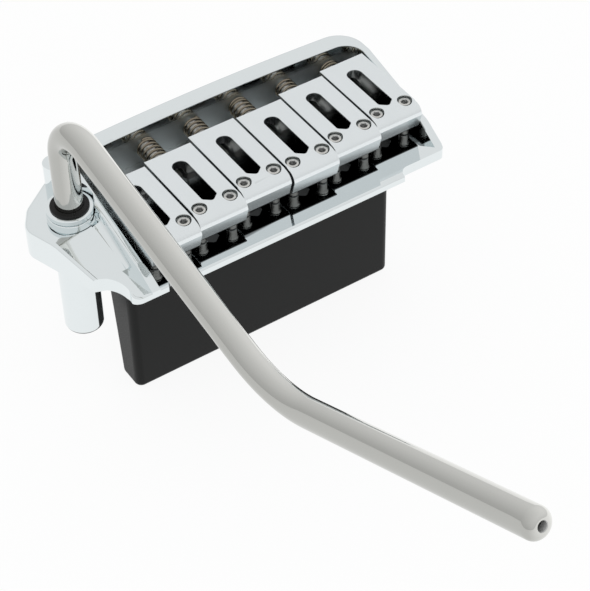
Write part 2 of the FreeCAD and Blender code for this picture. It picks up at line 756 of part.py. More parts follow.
def intonation_spring(x, row_y):
    y0 = row_y + SADDLE_REAR + SPRING_END_GAP
    y1 = rear_face_y(x) - SPRING_END_GAP
    path = coil(x, y0, y1)
    start = path.Vertexes[0].Point
    section = Part.Wire(Part.makeCircle(SPRING_WIRE / 2, start, REAR))
    spring = path.makePipeShell([section], True, False)
    print("spring gap %.2f, volume share %.3f" % (
        least_gap(path),
        spring.Volume / (path.Length * math.pi * SPRING_WIRE ** 2 / 4),
    ))
    return spring


# Arm socket

def arm_socket():
    barrel = upright(SOCKET_X, SOCKET_Y, BARREL_BOTTOM_Z, WING_UNDERSIDE_Z, BARREL_D)
    barrel = rounded(barrel, BARREL_BOTTOM_ROUND, lambda e: level(e, BARREL_BOTTOM_Z))
    socket = barrel.fuse(upright(SOCKET_X, SOCKET_Y, WING_UNDERSIDE_Z, NECK_TOP_Z, NECK_D))
    socket = socket.cut(upright(SOCKET_X, SOCKET_Y, BORE_BOTTOM_Z, NECK_TOP_Z, BORE_D))
    thread = STOP_SCREW_D + 2 * THREAD_FIT
    return socket.cut(upright(SOCKET_X, SOCKET_Y, BARREL_BOTTOM_Z, BORE_BOTTOM_Z, thread)).removeSplitter()


def arm_collar_nut():
    z1 = WING_SEAT_Z + COLLAR_FLANGE_H
    z2 = z1 + COLLAR_GROOVE_H
    nut = upright(SOCKET_X, SOCKET_Y, z1, z2, COLLAR_D - 2 * COLLAR_GROOVE_DEPTH)
    for low, high in ((WING_SEAT_Z, z1), (z2, NECK_TOP_Z)):
        ring = upright(SOCKET_X, SOCKET_Y, low, high, COLLAR_D)
        nut = nut.fuse(ring.makeFillet(COLLAR_RING_ROUND, [e for e in ring.Edges if level(e, high)]))
    hole = upright(SOCKET_X, SOCKET_Y, WING_SEAT_Z, NECK_TOP_Z, NECK_D + 2 * SLEEVE_FIT)
    return nut.cut(hole).removeSplitter()


def arm_bush():
    top = NECK_TOP_Z + BUSH_FLANGE_H
    flange = upright(SOCKET_X, SOCKET_Y, NECK_TOP_Z, top, BUSH_FLANGE_D)
    flange = rounded(flange, BUSH_FLANGE_H / 2, lambda e: level(e, top))
    sleeve = upright(SOCKET_X, SOCKET_Y, NECK_TOP_Z - BUSH_LENGTH, NECK_TOP_Z, BORE_D - 2 * SLEEVE_FIT)
    hole = upright(SOCKET_X, SOCKET_Y, NECK_TOP_Z - BUSH_LENGTH, top, ARM_D + 2 * ARM_FIT)
    return flange.fuse(sleeve).cut(hole).removeSplitter()


def arm_stop_screw():
    bottom = ARM_FOOT_Z - STOP_SCREW_LENGTH
    screw = upright(SOCKET_X, SOCKET_Y, bottom, ARM_FOOT_Z, STOP_SCREW_D)
    return screw.cut(hexagon(V(SOCKET_X, SOCKET_Y, bottom), UP, STOP_SCREW_HEX, STOP_SCREW_HEX_DEPTH))


# Tremolo arm

def bent_path(points, radii):
    # Straight runs joined by tangent arcs of the given radii.
    edges = []
    here = points[0]
    for corner, after, r in zip(points[1:], points[2:], radii):
        back = unit(here - corner)
        on = unit(after - corner)
        turn = math.pi - math.acos(back.dot(on))
        t = r * math.tan(turn / 2)
        first, last = corner + back * t, corner + on * t
        edges.append(Part.LineSegment(here, first).toShape())
        edges.append(arc_between(first, back * -1, last))
        here = last
    edges.append(Part.LineSegment(here, points[-1]).toShape())
    return Part.Wire(edges)


def arm_points():
    heading = math.radians(ARM_HEADING)
    forward = V(math.sin(heading), -math.cos(heading), 0)
    foot = V(SOCKET_X, SOCKET_Y, ARM_FOOT_Z)
    knee = V(SOCKET_X, SOCKET_Y, ARM_KNEE_Z)
    kink = knee + (forward + UP * ARM_FIRST_SLOPE) * ARM_FIRST_REACH
    tip = kink + (forward + UP * ARM_SECOND_SLOPE) * ARM_SECOND_REACH
    return [foot, knee, kink, tip]


def tremolo_arm():
    points = arm_points()
    path = bent_path(points, (ARM_KNEE_R, ARM_KINK_R))
    section = Part.Wire(Part.makeCircle(ARM_D / 2, points[0], UP))
    arm = path.makePipeShell([section], True, False)
    tip = points[3]
    along = unit(tip - points[2])

    def at_tip(edge):
        return all(abs((v.Point - tip).dot(along)) < 1e-3 for v in edge.Vertexes)

    arm = rounded(arm, ARM_TIP_ROUND, at_tip)
    arm = arm.makeChamfer(ARM_FOOT_CHAMFER, [e for e in arm.Edges if level(e, ARM_FOOT_Z)])
    hole_end = tip - along * ARM_TIP_HOLE_DEPTH
    return arm.cut(Part.makeCylinder(ARM_TIP_HOLE_D / 2, ARM_TIP_HOLE_DEPTH, hole_end, along))


# Every piece, by its name

def pieces():
    found = {
        "base_plate": base_plate(),
        "tremolo_block": tremolo_block(),
        "block_screws": block_screws(),
        "arm_socket": arm_socket(),
        "arm_collar_nut": arm_collar_nut(),
        "arm_bush": arm_bush(),
        "arm_stop_screw": arm_stop_screw(),
        "tremolo_arm": tremolo_arm(),
    }
    for i, (x, row_y) in enumerate(zip(STRING_X, SADDLE_ROW_Y), 1):
        found["saddle_%d" % i] = saddle(x, row_y)
        half = HEIGHT_SCREW_SPACING / 2
        found["height_screw_%d_left" % i] = height_screw(x - half, row_y)
        found["height_screw_%d_right" % i] = height_screw(x + half, row_y)
        found["intonation_screw_%d" % i] = intonation_screw(x)
        found["intonation_spring_%d" % i] = intonation_spring(x, row_y)
    return found


os.makedirs("parts", exist_ok=True)
for name, shape in pieces().items():
    shape.exportStep("parts/%s.step" % name)
    print(name, shape.isValid(), len(shape.Solids), round(shape.Volume, 2))
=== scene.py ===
"""Looks of a guitar tremolo bridge: finishes, threads, springs, arm and studio around the CAD frame."""

import math

import bpy
from bpy.props import FloatProperty, FloatVectorProperty, IntProperty, PointerProperty
from bpy.types import Operator, Panel, PropertyGroup
from mathutils import Matrix, Vector


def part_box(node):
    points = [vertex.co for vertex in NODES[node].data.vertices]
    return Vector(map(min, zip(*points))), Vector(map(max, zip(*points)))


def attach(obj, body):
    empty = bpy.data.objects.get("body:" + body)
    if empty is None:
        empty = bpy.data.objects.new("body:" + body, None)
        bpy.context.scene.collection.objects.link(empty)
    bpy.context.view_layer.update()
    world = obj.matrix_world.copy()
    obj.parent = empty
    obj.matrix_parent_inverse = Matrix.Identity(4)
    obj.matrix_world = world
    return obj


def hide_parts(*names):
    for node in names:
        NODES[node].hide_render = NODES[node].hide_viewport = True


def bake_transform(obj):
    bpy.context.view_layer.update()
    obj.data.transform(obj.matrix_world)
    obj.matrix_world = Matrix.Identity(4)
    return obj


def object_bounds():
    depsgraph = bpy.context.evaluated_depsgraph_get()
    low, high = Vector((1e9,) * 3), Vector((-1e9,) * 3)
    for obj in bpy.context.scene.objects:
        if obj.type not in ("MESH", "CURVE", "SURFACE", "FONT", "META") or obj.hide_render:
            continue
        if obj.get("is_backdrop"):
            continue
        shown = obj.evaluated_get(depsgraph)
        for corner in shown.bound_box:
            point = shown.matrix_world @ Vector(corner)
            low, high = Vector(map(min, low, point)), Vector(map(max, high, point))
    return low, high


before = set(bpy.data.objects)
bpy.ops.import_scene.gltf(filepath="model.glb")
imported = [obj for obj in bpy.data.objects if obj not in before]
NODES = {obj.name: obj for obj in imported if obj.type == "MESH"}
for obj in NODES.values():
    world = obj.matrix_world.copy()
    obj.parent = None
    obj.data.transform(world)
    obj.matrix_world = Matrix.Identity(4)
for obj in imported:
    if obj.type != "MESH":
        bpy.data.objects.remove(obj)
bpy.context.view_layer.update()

bl_info = {
    "name": "Guitar Tremolo Bridge",
    "version": (1, 0, 0),
    "blender": (4, 5, 0),
    "location": "3D View > Sidebar > Bridge",
    "description": "Dresses the tremolo bridge with finishes, threads, springs, arm and a studio",
    "category": "Object",
}

STRINGS = range(1, 7)
SIDES = ("left", "right")

# Runs of the painted shade in the tub, under and in the saddles and at the barrel's foot, and of the rear
# roughness: where each starts and where it is full, in metres from the edge that it follows
BAND_RUN = (-0.0047, -0.0042)
LEGS_RUN = (-0.0005, 0.0010)
OPEN_RUN = (-0.0145, -0.0095)
LEFT_RUN = (0.0002, 0.0004)
RIGHT_RUN = (0.0003, 0.0001)
REAR_RUN = (0.0004, 0.0002)
DEPTH_RUN = (0.0, -0.003)
FOOT_RUN = (0.0010, 0.0008)
UNDER_RUN = (0.0003, 0.0001)
SLOT_SIDE_RUN = (0.0002, 0.0001)
SLOT_DEPTH_RUN = (-0.0002, -0.0007)
SLOT_FRONT_RUN = (-0.0009, -0.0004)
SLOT_OPEN_RUN = (0.0060, 0.0100)

# Sideways lean of the arm's surface where its painted light, a lighter tone on the side towards the
# strings, starts and where it is full
PAINTED_LIGHT_FROM = -0.7
PAINTED_LIGHT_TO = 0.85

# Focal length and width of the photo, in pixels
PHOTO_FOCAL = 1934.9
PHOTO_WIDTH = 590

# Brightness of the studio tent from its rim to its top
TENT_RIM = 0.85
TENT_TOP = 1.0
TENT_STEPS = ((0.12, 0.9), (0.3, 0.95), (0.62, 1.0))


def length(name, description, default):
    """Property for a size in metres."""
    return FloatProperty(name=name, description=description, default=default, unit="LENGTH", precision=5)


def angle(name, description, default):
    """Property for an angle, its default in degrees."""
    return FloatProperty(name=name, description=description, default=math.radians(default), subtype="ANGLE")


def colour(name, description, default):
    """Property for a colour."""
    return FloatVectorProperty(
        name=name, description=description, default=default, subtype="COLOR", size=3, min=0, max=1
    )


def share(name, description, default):
    """Property for a share from 0 to 1."""
    return FloatProperty(
        name=name, description=description, default=default, min=0, max=1, subtype="FACTOR"
    )


def number(name, description, default):
    """Property for a plain number."""
    return FloatProperty(name=name, description=description, default=default)


def power(name, description, default):
    """Property for a lamp's power."""
    return FloatProperty(name=name, description=description, default=default, unit="POWER")


def spot(name, description, default):
    """Property for a place in metres."""
    return FloatVectorProperty(
        name=name, description=description, default=default, subtype="TRANSLATION", unit="LENGTH", size=3
    )


class BridgeFinishes(PropertyGroup):
    """Colours and polish of the bridge's finishes."""

    plate: colour("Plate chrome", "Chrome of the plate, socket and ring nut", (0.80, 0.845, 0.855))
    saddle: colour("Saddle chrome", "Satin chrome of the saddles", (0.815, 0.855, 0.87))
    arm: colour("Arm nickel", "Polished nickel of the arm", (0.475, 0.477, 0.455))
    # Painted light: the lighter tone painted on the arm's side towards the strings
    arm_painted_light: colour("Arm, bright side", "Nickel on the side to the strings", (0.87, 0.87, 0.838))
    screw: colour("Screw steel", "Plated steel of the screws", (0.66, 0.655, 0.63))
    # Painted shade: dark tone painted in the plate's tub and under and inside the saddles, standing for
    # shadow and dark reflections in the chrome
    recess: colour("Recesses", "Tarnish in the deep recesses of the chrome", (0.030, 0.031, 0.031))
    foot: colour("Screw feet", "Dull steel of the height screws' feet", (0.55, 0.555, 0.55))
    spring: colour("Spring wire", "Tarnished wire of the intonation springs", (0.27, 0.235, 0.18))
    block: colour("Block coat", "Satin black coat of the block", (0.0045, 0.0049, 0.0048))
    bush: colour("Bush plastic", "Black plastic of the arm bush", (0.008, 0.008, 0.008))
    polish: share("Plate roughness", "Roughness of the plate's chrome", 0.035)
    satin: share("Saddle roughness", "Roughness of the saddles' chrome", 0.26)
    # Shares of the painted shade: on the floor round the height screws, how much is left out behind the
    # saddles, and round the barrel's foot; the rear roughness is a real finish
    band_shade: share("Front tarnish", "Tarnish of the floor round the height screws", 0.66)
    rear_unshaded: share("Rear shine", "How far the floor behind the saddles is free of tarnish", 0.8)
    rear_dull: share("Rear roughness", "Roughness of the floor behind the saddles", 0.45)
    # How much of the painted shade is left out at the rear of the string slots
    slot_unshaded: share("Slot shine", "How far the rear of the string slots is free of tarnish", 0.6)
    foot_shade: share("Barrel foot tarnish", "Tarnish round the lower end of the barrel", 0.9)


class BridgeSizes(PropertyGroup):
    """Sizes of the details that the CAD frame leaves plain."""

    pitch: length("Thread pitch", "Pitch of the small screws' threads", 0.0005)
    thread_depth: length("Thread depth", "Depth of the small screws' threads", 0.00024)
    thread_d: length("Thread diameter", "Outer diameter of the small screws' threads", 0.00286)
    hex_flats: length("Hex socket", "Hex socket of the height screws, across its flats", 0.0013)
    hex_depth: length("Hex depth", "Depth of the height screws' hex sockets", 0.0013)
    leg_d: length("Leg diameter", "Diameter of the height screws under their saddles", 0.002)
    leg_height: length("Leg height", "Height of the height screws' plain legs", 0.0023)
    foot_height: length("Foot height", "Height of the height screws' rounded feet", 0.0003)
    wire: length("Spring wire", "Wire diameter of the intonation springs", 0.0005)
    coil_d: length("Coil diameter", "Outer diameter of the intonation springs", 0.0044)
    spring_play: length("Spring play", "Gap between an intonation spring and what it presses on", 0.00004)
    spring_spare: share("Spring overrun", "How far its stretch runs on at each end, by its length", 0.05)
    coil_pitch: length("Coil pitch", "Pitch of the free turns of the intonation springs", 0.00118)
    row_y: length("Screw row", "Place of the height screws' row on the middle line", 0.0062)
    row_slant: number("Row slant", "How the row runs back across the strings", 0.0926)
    tub_half: length("Tub half width", "From the middle to the tub's side walls", 0.0327)
    tub_rear: length("Tub rear", "Place of the rear wall's inner face", 0.0313)
    barrel_foot: length("Barrel foot", "Height of the arm socket barrel's lower end", -0.0245)
    # Height up to which the painted shade in the tub reaches
    tub_top: length("Tub shade", "Height that the tub's tarnish reaches", 0.0088)
    string_pitch: length("String spacing", "From one string to the next", 0.0108)
    slot_half: length("Slot half width", "Half the width of a saddle's string slot", 0.001575)
    saddle_low: length("Saddle underside", "Height of a saddle's underside", 0.0033)
    saddle_top: length("Saddle top", "Height of a saddle's top", 0.009)
    arm_d: length("Arm diameter", "Diameter of the tremolo arm", 0.00544)
    arm_knee_z: length("Arm knee", "Height of the corner over the socket", 0.0295)
    arm_knee_r: length("Knee radius", "Bend radius over the socket", 0.0072)
    arm_first: length("First run", "Level reach from the knee to the kink", 0.0643)
    arm_kink_r: length("Kink radius", "Bend radius at the kink", 0.026)
    arm_second: length("Second run", "Level reach from the kink to the tip", 0.0625)
    arm_tip_round: length("Tip rounding", "Rounding of the arm's tip", 0.0017)
    arm_hole_d: length("Tip hole", "Diameter of the hole in the arm's tip", 0.0017)
    arm_hole_depth: length("Tip hole depth", "Depth of the hole in the arm's tip", 0.003)
    arm_foot_z: length("Arm foot", "Height of the arm's foot in the socket", -0.0159)
    arm_heading: angle("Arm heading", "Heading of the arm from straight ahead", 4.0)
    arm_fall: number("First slope", "Rise over reach of the first run", -0.329)
    arm_rise: number("Second slope", "Rise over reach of the second run", 0.427)
    arm_sides: IntProperty(name="Arm facets", description="Points round the arm", default=64, min=16)


class BridgeStudio(PropertyGroup):
    """Camera, floor and lamps."""

    azimuth: angle("Camera azimuth", "Direction the camera looks from", -32.767)
    elevation: angle("Camera elevation", "Height angle the camera looks from", 44.598)
    roll: angle("Camera roll", "Tilt of the camera's horizon", -1.369)
    distance: length("Camera distance", "Distance along the line of sight", 0.36748)
    slide_x: length("Frame shift across", "Camera's shift across the picture", 0.002251)
    slide_y: length("Frame shift up", "Camera's shift up the picture", -0.02478)
    centre_y: length("Aim depth", "Place along the strings that the camera is aimed from", 0.0061)
    centre_z: length("Aim height", "Height that the camera is aimed from", 0.0089)
    focal: number("Focal length", "In picture widths", PHOTO_FOCAL / PHOTO_WIDTH)
    paper: colour("Floor", "Pale floor", (0.93, 0.94, 0.94))
    floor_half: length("Floor half width", "From the middle to the floor's edges", 6.0)
    floor_glow: share("Floor glow", "How much of the floor's brightness is its own", 0.9)
    tent: share("Tent strength", "Brightness of the studio tent", 0.85)
    key: power("Key lamp", "Power of the large soft lamp", 0.8)
    key_size: length("Key size", "Width of the large soft lamp", 0.6)
    key_place: spot("Key place", "Place of the large soft lamp", (-0.25, -0.20, 0.55))
    fill: power("Fill lamp", "Power of the side lamp", 0.3)
    fill_size: length("Fill size", "Width of the side lamp", 0.5)
    fill_place: spot("Fill place", "Place of the side lamp", (0.45, -0.35, 0.30))


def finishes():
    """The scene's finish settings."""
    return bpy.context.scene.bridge_finishes


def sizes():
    """The scene's size settings."""
    return bpy.context.scene.bridge_sizes


# Node groups that several finishes share

def new_group(name, inputs, outputs):
    """A shader node group with its inner ends."""
    group = bpy.data.node_groups.new(name, "ShaderNodeTree")
    for label, kind, default in inputs:
        socket = group.interface.new_socket(label, in_out="INPUT", socket_type=kind)
        socket.default_value = default
    for label, kind in outputs:
        group.interface.new_socket(label, in_out="OUTPUT", socket_type=kind)
    start = group.nodes.new("NodeGroupInput")
    end = group.nodes.new("NodeGroupOutput")
    return group, start.outputs, end.inputs


def add(tree, kind, **settings):
    """A new node with those settings."""
    node = tree.nodes.new(kind)
    for key, value in settings.items():
        setattr(node, key, value)
    return node


def join(tree, source, target):
    """Links an output to an input."""
    tree.links.new(source, target)


def maths(tree, operation, a, b=0):
    """Result of a Math node on sockets or numbers."""
    node = add(tree, "ShaderNodeMath", operation=operation)
    for socket, value in zip(node.inputs, (a, b)):
        if isinstance(value, (int, float)):
            socket.default_value = value
        else:
            join(tree, value, socket)
    return node.outputs[0]


def object_point(tree, scale=(1, 1, 1)):
    """Object coordinates, stretched by a scale."""
    place = add(tree, "ShaderNodeTexCoord")
    mapping = add(tree, "ShaderNodeMapping")
    mapping.inputs["Scale"].default_value = scale
    join(tree, place.outputs["Object"], mapping.inputs["Vector"])
    return mapping.outputs["Vector"]


def noise(tree, vector, scale, detail, rough=0.5):
    """Soft noise from 0 to 1."""
    node = add(tree, "ShaderNodeTexNoise")
    join(tree, vector, node.inputs["Vector"])
    node.inputs["Scale"].default_value = scale
    node.inputs["Detail"].default_value = detail
    node.inputs["Roughness"].default_value = rough
    return node.outputs["Fac"]


# Handling haze: the scales of its patches and smears, the share of the metal's roughness that clean
# places have, and the depth and tint of its tone
HAZE_PATCHES = 140
HAZE_SMEARS = (420, 130, 300)
HAZE_CLEAN = 0.75
HAZE_DEPTH = 0.35
HAZE_TINT = (0.80, 0.80, 0.79, 1)

# Part of the grain's noise that its mask spreads from 0 to 1
GRAIN_LOW = 0.35
GRAIN_HIGH = 0.65


def handling_haze():
    """Patches where a polished metal is a little duller and darker."""
    group, given, out = new_group(
        "Handling haze",
        [("Colour", "NodeSocketColor", (0.7, 0.7, 0.7, 1)), ("Roughness", "NodeSocketFloat", 0.05),
         ("Haze", "NodeSocketFloat", 0.5)],
        [("Colour", "NodeSocketColor"), ("Roughness", "NodeSocketFloat")],
    )
    patches = noise(group, object_point(group), scale=HAZE_PATCHES, detail=4, rough=0.6)
    smears = noise(group, object_point(group, HAZE_SMEARS), scale=1, detail=3)
    mixed = maths(group, "MULTIPLY", patches, smears)
    amount = maths(group, "MULTIPLY", mixed, given["Haze"])
    rough = maths(group, "MULTIPLY", given["Roughness"], maths(group, "ADD", HAZE_CLEAN, amount))
    tone = add(group, "ShaderNodeMix", data_type="RGBA", blend_type="MULTIPLY")
    join(group, maths(group, "MULTIPLY", amount, HAZE_DEPTH), tone.inputs["Factor"])
    join(group, given["Colour"], tone.inputs["A"])
    tone.inputs["B"].default_value = HAZE_TINT
    join(group, tone.outputs["Result"], out["Colour"])
    join(group, rough, out["Roughness"])
    return group


def fine_grain():
    """Close pits of a cast, coated or satin surface, as a height."""
    group, given, out = new_group(
        "Fine grain",
        [("Size", "NodeSocketFloat", 4000.0), ("Stretch", "NodeSocketFloat", 1.0)],
        [("Height", "NodeSocketFloat"), ("Mask", "NodeSocketFloat")],
    )
    place = add(group, "ShaderNodeTexCoord")
    stretch = add(group, "ShaderNodeCombineXYZ")
    stretch.inputs["X"].default_value = 1
    stretch.inputs["Z"].default_value = 1
    join(group, given["Stretch"], stretch.inputs["Y"])
    stretched = add(group, "ShaderNodeVectorMath", operation="MULTIPLY")
    join(group, place.outputs["Object"], stretched.inputs[0])
    join(group, stretch.outputs["Vector"], stretched.inputs[1])
    grain = add(group, "ShaderNodeTexNoise")
    join(group, stretched.outputs["Vector"], grain.inputs["Vector"])
    join(group, given["Size"], grain.inputs["Scale"])
    grain.inputs["Detail"].default_value = 3
    join(group, grain.outputs["Fac"], out["Height"])
    mask = add(group, "ShaderNodeMapRange")
    join(group, grain.outputs["Fac"], mask.inputs["Value"])
    mask.inputs["From Min"].default_value = GRAIN_LOW
    mask.inputs["From Max"].default_value = GRAIN_HIGH
    join(group, mask.outputs["Result"], out["Mask"])
    return group


GROUPS = {}


def group_node(tree, make, values):
    """A node of a shared group, which is made on first use."""
    if make not in GROUPS:
        GROUPS[make] = make()
    node = add(tree, "ShaderNodeGroup", node_tree=GROUPS[make])
    for key, value in values.items():
        node.inputs[key].default_value = value
    return node


# Finishes

def plain_material(name, **settings):
    """A material with its tree and shader, whose inputs take the settings."""
    material = bpy.data.materials.new(name)
    material.use_nodes = True
    shader = material.node_tree.nodes["Principled BSDF"]
    for key, value in settings.items():
        shader.inputs[key.replace("_", " ").title().replace("Ior", "IOR")].default_value = value
    return material, material.node_tree, shader


def bump(tree, shader, height, strength, distance):
    """Lets a height tilt the shader's normals."""
    node = add(tree, "ShaderNodeBump")
    node.inputs["Strength"].default_value = strength
    node.inputs["Distance"].default_value = distance
    join(tree, height, node.inputs["Height"])
    join(tree, node.outputs["Normal"], shader.inputs["Normal"])


def within(tree, value, edge, run):
    """Share that goes from 0 to 1 as a value passes through a run beside an edge."""
    start, full = run
    node = add(tree, "ShaderNodeMapRange", interpolation_type="SMOOTHSTEP")
    join(tree, value, node.inputs["Value"])
    node.inputs["From Min"].default_value = edge + start
    node.inputs["From Max"].default_value = edge + full
    return node.outputs["Result"]


def product(tree, *values):
    """All the values multiplied."""
    result = values[0]
    for value in values[1:]:
        result = maths(tree, "MULTIPLY", result, value)
    return result


def rest_of(tree, amount, most):
    """What is left of 1 when up to most of it is taken away."""
    return maths(tree, "SUBTRACT", 1, product(tree, amount, most))


def place_of(tree, kind="Object"):
    """Coordinates of the piece, one by one."""
    split = add(tree, "ShaderNodeSeparateXYZ")
    join(tree, add(tree, "ShaderNodeTexCoord").outputs[kind], split.inputs["Vector"])
    return split.outputs


def row_depth(tree, x, y):
    """Place along the strings with the slant of the height screws' row taken out."""
    return maths(tree, "SUBTRACT", y, product(tree, x, sizes().row_slant))


def tub_shade(tree):
    """Painted shade and roughness of the plate: dark reflection and shade painted in its tub behind the
    height screws and at the barrel's foot, and a rougher floor at the rear.
    """
    f, s = finishes(), sizes()
    x, y, z = place_of(tree)
    depth = row_depth(tree, x, y)
    # Painted shade: a dark band round the height screws and the floor under the saddles
    band = product(tree, within(tree, depth, s.row_y, BAND_RUN), f.band_shade)
    behind = maths(tree, "MAXIMUM", band, within(tree, depth, s.row_y, LEGS_RUN))
    open_part = within(tree, y, s.tub_rear, OPEN_RUN)
    left = within(tree, x, -s.tub_half, LEFT_RUN)
    right = within(tree, x, s.tub_half, RIGHT_RUN)
    ahead = within(tree, y, s.tub_rear, REAR_RUN)
    low = within(tree, z, s.tub_top, DEPTH_RUN)
    tub = product(tree, behind, left, right, low, ahead)
    # Painted shade: a dark rim round the lower end of the barrel
    foot = product(tree, within(tree, z, s.barrel_foot, FOOT_RUN), f.foot_shade)
    painted_shade = maths(tree, "MAXIMUM", foot, product(tree, tub, rest_of(tree, open_part, f.rear_unshaded)))
    return painted_shade, product(tree, tub, open_part, f.rear_dull)


def saddle_shade(tree):
    """Painted shade of a saddle: dark painted under it and inside its string slot."""
    f, s = finishes(), sizes()
    x, y, z = place_of(tree)
    under = within(tree, z, s.saddle_low, UNDER_RUN)
    off = maths(tree, "SUBTRACT", maths(tree, "FLOORED_MODULO", x, s.string_pitch), s.string_pitch / 2)
    middle = within(tree, maths(tree, "ABSOLUTE", off), s.slot_half, SLOT_SIDE_RUN)
    deep = within(tree, z, s.saddle_top, SLOT_DEPTH_RUN)
    depth = row_depth(tree, x, y)
    back = within(tree, depth, s.row_y, SLOT_FRONT_RUN)
    open_part = within(tree, depth, s.row_y, SLOT_OPEN_RUN)
    slot = product(tree, middle, deep, back, rest_of(tree, open_part, f.slot_unshaded))
    return maths(tree, "MAXIMUM", under, slot), None


def arm_shade(tree):
    """Share of the painted light on the arm: a lighter tone that grows round the bar towards the strings.
    """
    span = add(tree, "ShaderNodeMapRange")
    join(tree, place_of(tree, "Normal")["X"], span.inputs["Value"])
    span.inputs["From Min"].default_value = PAINTED_LIGHT_FROM
    span.inputs["From Max"].default_value = PAINTED_LIGHT_TO
    return span.outputs["Result"], None


# How strongly the grain tilts the light on plated and on coated pieces
PLATED_BUMP = 0.35
COATED_BUMP = 0.3

# Coat and plastic: their sheen, the paler tone of the grain and the spread of the roughness
COAT_SHEEN = 0.18
COAT_PALE = 1.35
COAT_SPREAD = 0.15


def plated(name, tint, rough, haze, grain_size=0, grain_depth=0, grain_stretch=1, shade=None, other=None):
    """A plated metal: haze, fine grain where it has a size, and a shade's areas in another tone, which is
    painted shade or painted light.
    """
    material, tree, shader = plain_material(name, metallic=1.0)
    surface = group_node(tree, handling_haze, {"Colour": (*tint, 1), "Roughness": rough, "Haze": haze})
    tone = surface.outputs["Colour"]
    gloss = surface.outputs["Roughness"]
    if shade:
        area, dull = shade(tree)
        if dull is not None:
            gloss = maths(tree, "MAXIMUM", gloss, dull)
        dim = add(tree, "ShaderNodeMix", data_type="RGBA")
        join(tree, area, dim.inputs["Factor"])
        join(tree, tone, dim.inputs["A"])
        dim.inputs["B"].default_value = (*other, 1)
        tone = dim.outputs["Result"]
    join(tree, tone, shader.inputs["Base Color"])
    join(tree, gloss, shader.inputs["Roughness"])
    if grain_size:
        grain = group_node(tree, fine_grain, {"Size": grain_size, "Stretch": grain_stretch})
        bump(tree, shader, grain.outputs["Height"], PLATED_BUMP, grain_depth)
    return material


def coated_black(name, tint, rough, grain_size, grain_depth):
    """Black coat or plastic with a fine grain in its sheen."""
    material, tree, shader = plain_material(name, metallic=0.0, specular_ior_level=COAT_SHEEN)
    grain = group_node(tree, fine_grain, {"Size": grain_size, "Stretch": 1.0})
    tone = add(tree, "ShaderNodeMix", data_type="RGBA")
    join(tree, grain.outputs["Mask"], tone.inputs["Factor"])
    tone.inputs["A"].default_value = (*tint, 1)
    tone.inputs["B"].default_value = (*(COAT_PALE * c for c in tint), 1)
    join(tree, tone.outputs["Result"], shader.inputs["Base Color"])
    spread = add(tree, "ShaderNodeMapRange")
    join(tree, grain.outputs["Mask"], spread.inputs["Value"])
    spread.inputs["To Min"].default_value = rough * (1 - COAT_SPREAD)
    spread.inputs["To Max"].default_value = rough * (1 + COAT_SPREAD)
    join(tree, spread.outputs["Result"], shader.inputs["Roughness"])
    bump(tree, shader, grain.outputs["Height"], COATED_BUMP, grain_depth)
    return material


FINISHES = {}


def make_finish(key):
    """The material of that finish."""
    f = finishes()
    name = key + "_finish"
    # Painted shade: the plate's and saddles' marked areas take the dark recess tone
    if key == "plate_chrome":
        return plated(name, f.plate, rough=f.polish, haze=0.5, shade=tub_shade, other=f.recess)
    if key == "saddle_chrome":
        return plated(
            name, f.saddle, rough=f.satin, haze=0.6, grain_size=9000, grain_depth=2e-6, grain_stretch=0.3,
            shade=saddle_shade, other=f.recess,
        )
    # Painted light: the arm's side towards the strings takes a lighter tone
    if key == "arm_nickel":
        return plated(name, f.arm, rough=0.09, haze=0.6, shade=arm_shade, other=f.arm_painted_light)
    if key == "screw_steel":
        return plated(name, f.screw, rough=0.4, haze=0.8, grain_size=9000, grain_depth=3e-6)
    if key == "screw_foot":
        return plated(name, f.foot, rough=0.42, haze=0.9, grain_size=9000, grain_depth=8e-6)
    if key == "spring_wire":
        return plated(name, f.spring, rough=0.26, haze=1.0, grain_size=12000, grain_depth=3e-6)
    if key == "block_coat":
        return coated_black(name, f.block, rough=0.42, grain_size=3800, grain_depth=1.2e-5)
    if key == "bush_plastic":
        return coated_black(name, f.bush, rough=0.35, grain_size=6000, grain_depth=6e-6)
    raise ValueError("there is no finish named %s" % key)


def finish_for(key):
    """The material of that finish, made on first use."""
    if key not in FINISHES:
        FINISHES[key] = make_finish(key)
    return FINISHES[key]


def dress(node, key):
    """Gives a CAD node its finish."""
    mesh = NODES[node].data
    mesh.materials.clear()
    mesh.materials.append(finish_for(key))


# Mesh helpers

def mesh_piece(name, skin, *finish_keys):
    """A smooth piece with that skin, whose tones count through the finishes."""
    mesh = bpy.data.meshes.new(name)
    mesh.from_pydata([tuple(p) for p in skin.points], [], skin.faces)
    for key in finish_keys:
        mesh.materials.append(finish_for(key))
    mesh.polygons.foreach_set("material_index", skin.tones)
    mesh.polygons.foreach_set("use_smooth", [True] * len(mesh.polygons))
    mesh.validate()
    piece = bpy.data.objects.new(name, mesh)
    bpy.context.scene.collection.objects.link(piece)
    return piece


def sharpen(piece, limit):
    """Keeps edges sharper than the limit crisp."""
    piece.data.set_sharp_from_angle(angle=math.radians(limit))


class Skin:
    """Rings of points joined into one closed skin."""

    def __init__(self):
        self.points = []
        self.faces = []
        self.tones = []
        self.last = []

    def face(self, corners, tone):
        """Adds one face."""
        self.faces.append(tuple(corners))
        self.tones.append(tone)

    def start(self, points, tone=0):
        """Closes the first end and starts from it."""
        self.ring(points)
        self.face(reversed(self.last), tone)

    def ring(self, points, tone=0):
        """Adds a ring and joins it to the one before."""
        first = len(self.points)
        self.points += points
        now = list(range(first, len(self.points)))
        for k in range(len(self.last)):
            j = (k + 1) % len(now)
            self.face((self.last[k], self.last[j], now[j], now[k]), tone)
        self.last = now

    def close(self, tone=0):
        """Closes the last end."""
        self.face(self.last, tone)


# Rings in one turn of a thread, and the slope of its flanks beside its flat crests
RINGS_PER_TURN = 6
FLANK_SLOPE = 1.25
CREST_FLAT = 0.1


